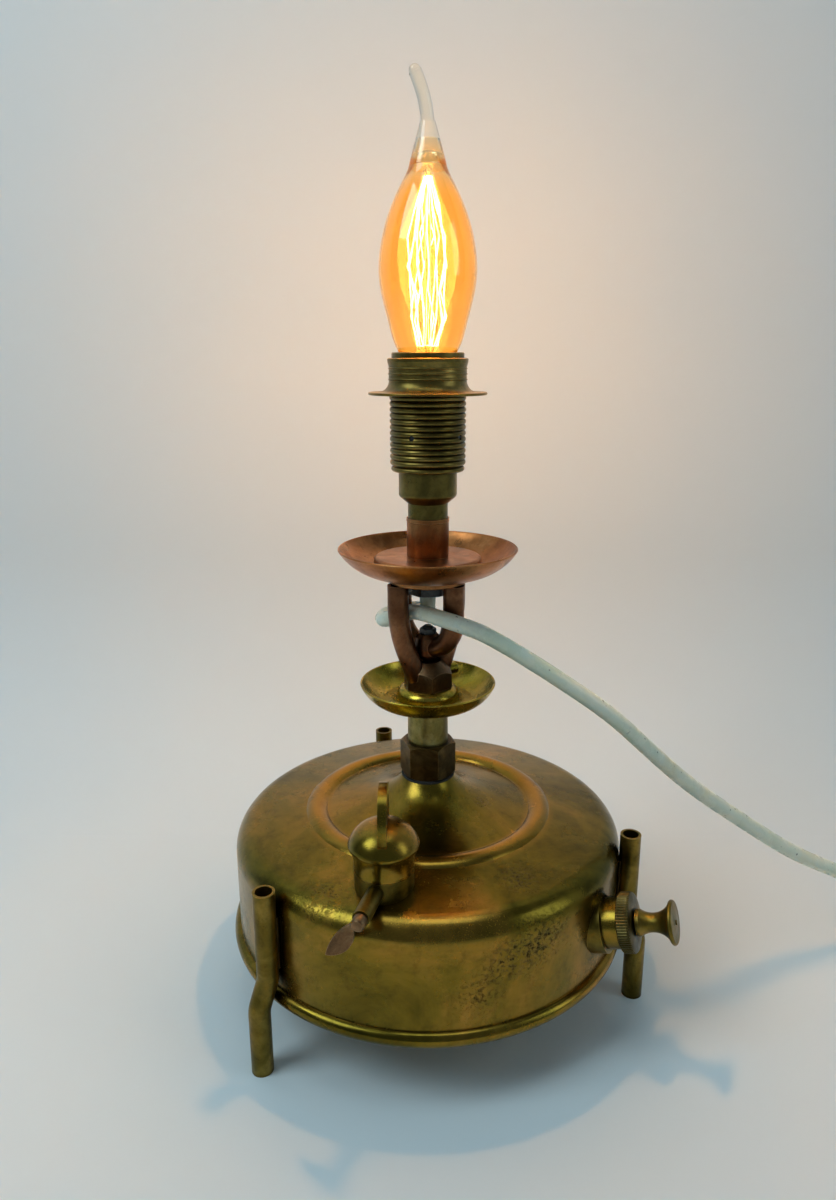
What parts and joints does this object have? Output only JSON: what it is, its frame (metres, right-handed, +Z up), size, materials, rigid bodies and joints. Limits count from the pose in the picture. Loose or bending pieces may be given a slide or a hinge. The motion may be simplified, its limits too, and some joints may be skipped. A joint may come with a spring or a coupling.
{
  "type": "stove table lamp",
  "caption": "Old brass pressure paraffin stove made into a table lamp, with tank, pump, burner, dish, lampholder, bulb and white lead.",
  "frame": {"origin": "on the floor, on the axis of the tank, riser and lampholder", "axes": "+Z up, +X to the side where the lead runs off, -Y to the side of the filler cap"},
  "size_m": [0.4165, 0.203, 0.3437],
  "materials": {
    "aged_brass": "aged, pitted",
    "bright_brass": "satin",
    "copper_brown": "satin, heat-browned",
    "dark_bronze": "aged satin",
    "dark_steel": "dull",
    "nickel": "satin",
    "black_rubber": "matt",
    "brown_leather": "oiled",
    "amber_glass": "clear, warm tint",
    "clear_glass": "clear",
    "filament": "glowing",
    "bakelite": "matt",
    "white_pvc": "slightly aged"
  },
  "bodies": {
    "stove": {"tank_shell": "aged_brass", "tank_base": "aged_brass", "leg_1": "aged_brass", "leg_2": "aged_brass", "leg_3": "aged_brass", "filler_neck": "aged_brass", "vent_tube": "aged_brass", "pump_collar": "aged_brass", "pump_barrel": "aged_brass", "pump_cap": "aged_brass", "riser_nut": "aged_brass", "tank_spigot": "aged_brass", "riser_tube": "bright_brass", "spirit_cup": "bright_brass", "burner_base": "bright_brass", "burner_tube_front_left": "bright_brass", "burner_tube_back_right": "bright_brass", "burner_u_tube": "bright_brass", "base_plug": "bright_brass", "valve_body": "bright_brass", "socket_shell": "bright_brass", "burner_head": "copper_brown", "flame_dish": "copper_brown", "dish_disc": "copper_brown", "spacer_tube": "copper_brown", "jet_block": "copper_brown", "holder_cup": "dark_bronze", "holder_skirt": "dark_bronze", "holder_collar": "dark_bronze", "lamp_pipe": "dark_bronze", "jet_nipple": "dark_steel", "pipe_nut": "dark_steel", "valve_spring": "nickel", "centre_contact": "nickel", "terminals": "nickel", "plug_pins": "nickel", "nut_washer": "black_rubber", "union_washer": "black_rubber", "holder_insert": "bakelite", "cord_tube": "white_pvc", "cord_coil": "white_pvc", "cord_tail": "white_pvc", "inner_cord": "white_pvc", "plug_body": "white_pvc"},
    "pump_plunger": {"pump_knob": "aged_brass", "pump_rod": "nickel", "pump_leather": "brown_leather", "pump_nut": "bright_brass"},
    "pump_valve": {"valve_pip": "black_rubber"},
    "filler_washer_body": {"filler_washer": "black_rubber"},
    "filler_cap_body": {"filler_cap": "aged_brass", "filler_wing": "aged_brass"},
    "vent_key": {"vent_screw": "aged_brass"},
    "shade_ring_body": {"shade_ring": "dark_bronze"},
    "bulb_foot": {"bulb_contact": "nickel", "bulb_insulator": "clear_glass"},
    "bulb": {"bulb_glass": "amber_glass", "bulb_cap": "bright_brass", "bulb_stem": "clear_glass", "bulb_filament": "filament"}
  },
  "joints": [
    {"name": "pump_stroke", "type": "slide", "parent": "stove", "child": "pump_plunger", "axis": [0.8937, -0.3665, 0.2588], "range_m": [0, 0.045]},
    {"name": "valve_open", "type": "slide", "parent": "stove", "child": "pump_valve", "axis": [-0.8937, 0.3665, -0.2588], "range_m": [0, 0.0013], "stiffness_N_per_m": 50, "springref_m": -0.002},
    {"name": "cap_lift", "type": "slide", "parent": "stove", "child": "filler_washer_body", "axis": [0, 0, 1], "range_m": [0, 0.0075]},
    {"name": "cap_turn", "type": "hinge", "parent": "filler_washer_body", "child": "filler_cap_body", "pos_m": [-0.0152, -0.0555, 0.09], "axis": [0, 0, 1], "range_deg": [0, 1501]},
    {"name": "vent_turn", "type": "hinge", "parent": "stove", "child": "vent_key", "pos_m": [-0.0152, -0.0555, 0.076], "axis": [-0.2571, -0.9664, 0], "range_deg": [0, 540]},
    {"name": "shade_ring_turn", "type": "hinge", "parent": "stove", "child": "shade_ring_body", "pos_m": [0, 0, 0.245], "axis": [0, 0, 1], "range_deg": [0, 360]},
    {"name": "bulb_lift", "type": "slide", "parent": "stove", "child": "bulb_foot", "axis": [0, 0, 1], "range_m": [0, 0.0141]},
    {"name": "bulb_turn", "type": "hinge", "parent": "bulb_foot", "child": "bulb", "pos_m": [0, 0, 0.235], "axis": [0, 0, 1], "range_deg": [0, 1801]}
  ],
  "couplings": [
    {"joint": "cap_turn", "follows": "cap_lift", "rad_per_m": 3490.7},
    {"joint": "bulb_turn", "follows": "bulb_lift", "rad_per_m": 2228.1}
  ]
}
